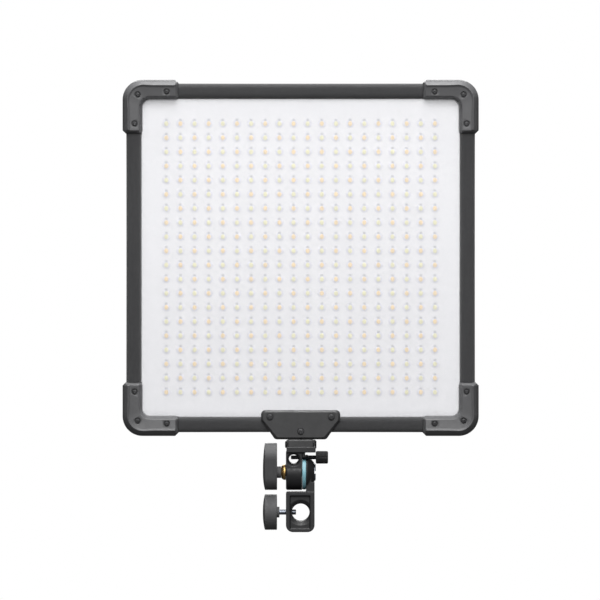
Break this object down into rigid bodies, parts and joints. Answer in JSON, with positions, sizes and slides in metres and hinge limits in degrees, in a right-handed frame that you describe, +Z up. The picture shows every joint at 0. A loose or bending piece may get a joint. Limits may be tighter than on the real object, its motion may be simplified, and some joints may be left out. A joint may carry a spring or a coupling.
{
  "type": "led panel light",
  "caption": "Flat square LED panel light in a sleeved frame with corner covers, on a tilting light stand bracket with clamp knobs and an umbrella hole.",
  "frame": {"origin": "centre of the front mouth of the spigot socket's bore, on the bore's axis", "axes": "+X to the right as seen from in front, the light shines to -Y, +Z up along the panel at zero tilt"},
  "size_m": [0.34, 0.0574, 0.4312],
  "materials": {
    "corner_plastic": "fine moulded texture",
    "sleeve_fabric": "woven nylon",
    "bar_aluminium": "drawn",
    "led_board": "white solder mask",
    "led_chips": "yellow and orange phosphor",
    "diffuser": "milky film",
    "backing_foam": "closed-cell foam",
    "back_cloth": "woven nylon",
    "clamp_metal": "dark grey powder coat",
    "casting": "dark grey powder coat",
    "friction_ring": "pale blue moulded",
    "steel": "zinc plated",
    "black_steel": "black oxide",
    "brass": "turned",
    "knob_plastic": "moulded, finely ribbed rim",
    "unit_plastic": "fine moulded texture",
    "window": "dark clear window",
    "electronics": "green board and grey parts",
    "black_rubber": "soft matt"
  },
  "bodies": {
    "base": {"base_arm": "casting", "tilt_bolt": "steel", "friction_ring": "friction_ring"},
    "washer_carrier": {"tilt_washer": "brass"},
    "tilt_lever": {"tilt_lever": "knob_plastic", "tilt_lever_insert": "brass"},
    "spigot_screw": {"spigot_screw": "steel"},
    "spigot_knob": {"spigot_knob": "knob_plastic"},
    "umbrella_screw": {"umbrella_screw": "black_steel"},
    "umbrella_knob": {"umbrella_knob": "knob_plastic"},
    "brightness_dial": {"brightness_dial": "black_rubber"},
    "colour_dial": {"colour_dial": "black_rubber"},
    "mode_button": {"mode_button": "black_rubber"},
    "power_rocker": {"power_rocker": "unit_plastic"},
    "head": {"led_board": "led_board", "led_rows": "led_chips", "diffuser_sheet": "diffuser", "backing_foam": "backing_foam", "back_cloth": "back_cloth", "edge_sleeve_top": "sleeve_fabric", "edge_sleeve_bottom": "sleeve_fabric", "edge_sleeve_left": "sleeve_fabric", "edge_sleeve_right": "sleeve_fabric", "edge_bar_top": "bar_aluminium", "edge_bar_bottom": "bar_aluminium", "edge_bar_left": "bar_aluminium", "edge_bar_right": "bar_aluminium", "corner_front_top_left": "corner_plastic", "corner_front_top_right": "corner_plastic", "corner_front_bottom_left": "corner_plastic", "corner_front_bottom_right": "corner_plastic", "corner_rear_top_left": "corner_plastic", "corner_rear_top_right": "corner_plastic", "corner_rear_bottom_left": "corner_plastic", "corner_rear_bottom_right": "corner_plastic", "corner_screws": "black_steel", "clamp_front_plate": "clamp_metal", "clamp_rear_plate": "clamp_metal", "clamp_screws": "black_steel", "head_arm": "casting", "head_cross_pin": "black_steel", "unit_base": "unit_plastic", "unit_housing": "unit_plastic", "unit_screws": "steel", "driver_board": "electronics", "board_lead": "electronics", "display_module": "electronics", "display_window": "window", "brightness_encoder": "electronics", "colour_encoder": "electronics", "mode_switch": "electronics", "power_switch": "unit_plastic", "power_socket": "unit_plastic"}
  },
  "joints": [
    {"name": "tilt", "type": "hinge", "parent": "base", "child": "head", "pos_m": [0, 0.0096, 0.0381], "axis": [1, 0, 0], "range_deg": [-90, 90]},
    {"name": "tilt_washer_travel", "type": "slide", "parent": "base", "child": "washer_carrier", "axis": [-1, 0, 0], "range_m": [0, 0.00045]},
    {"name": "tilt_lever_turn", "type": "hinge", "parent": "washer_carrier", "child": "tilt_lever", "pos_m": [-0.03, 0.0096, 0.0381], "axis": [-1, 0, 0], "range_deg": [0, 130]},
    {"name": "spigot_screw_travel", "type": "slide", "parent": "base", "child": "spigot_screw", "axis": [-1, 0, 0], "range_m": [-0.006, 0.005]},
    {"name": "spigot_knob_turn", "type": "hinge", "parent": "spigot_screw", "child": "spigot_knob", "pos_m": [-0.03, 0.0096, 0], "axis": [-1, 0, 0], "range_deg": [-2710, 2260]},
    {"name": "umbrella_screw_travel", "type": "slide", "parent": "head", "child": "umbrella_screw", "axis": [1, 0, 0], "range_m": [0, 0.007]},
    {"name": "umbrella_knob_turn", "type": "hinge", "parent": "umbrella_screw", "child": "umbrella_knob", "pos_m": [0.02, -0.003, 0.0527], "axis": [1, 0, 0], "range_deg": [0, 3610]},
    {"name": "brightness_dial_turn", "type": "hinge", "parent": "head", "child": "brightness_dial", "pos_m": [-0.0295, 0.0406, 0.1272], "axis": [0, 1, 0], "range_deg": [-150, 150]},
    {"name": "colour_dial_turn", "type": "hinge", "parent": "head", "child": "colour_dial", "pos_m": [0.0295, 0.0406, 0.1272], "axis": [0, 1, 0], "range_deg": [-150, 150]},
    {"name": "mode_button_press", "type": "slide", "parent": "head", "child": "mode_button", "axis": [0, -1, 0], "range_m": [0, 0.001], "stiffness_N_per_m": 600},
    {"name": "power_rocker_tip", "type": "hinge", "parent": "head", "child": "power_rocker", "pos_m": [-0.024, 0.0246, 0.1121], "axis": [0, 1, 0], "range_deg": [-14, 0]}
  ],
  "couplings": [
    {"joint": "tilt_lever_turn", "follows": "tilt_washer_travel", "rad_per_m": 5026.5},
    {"joint": "spigot_knob_turn", "follows": "spigot_screw_travel", "rad_per_m": 7854},
    {"joint": "umbrella_knob_turn", "follows": "umbrella_screw_travel", "rad_per_m": 8976}
  ]
}
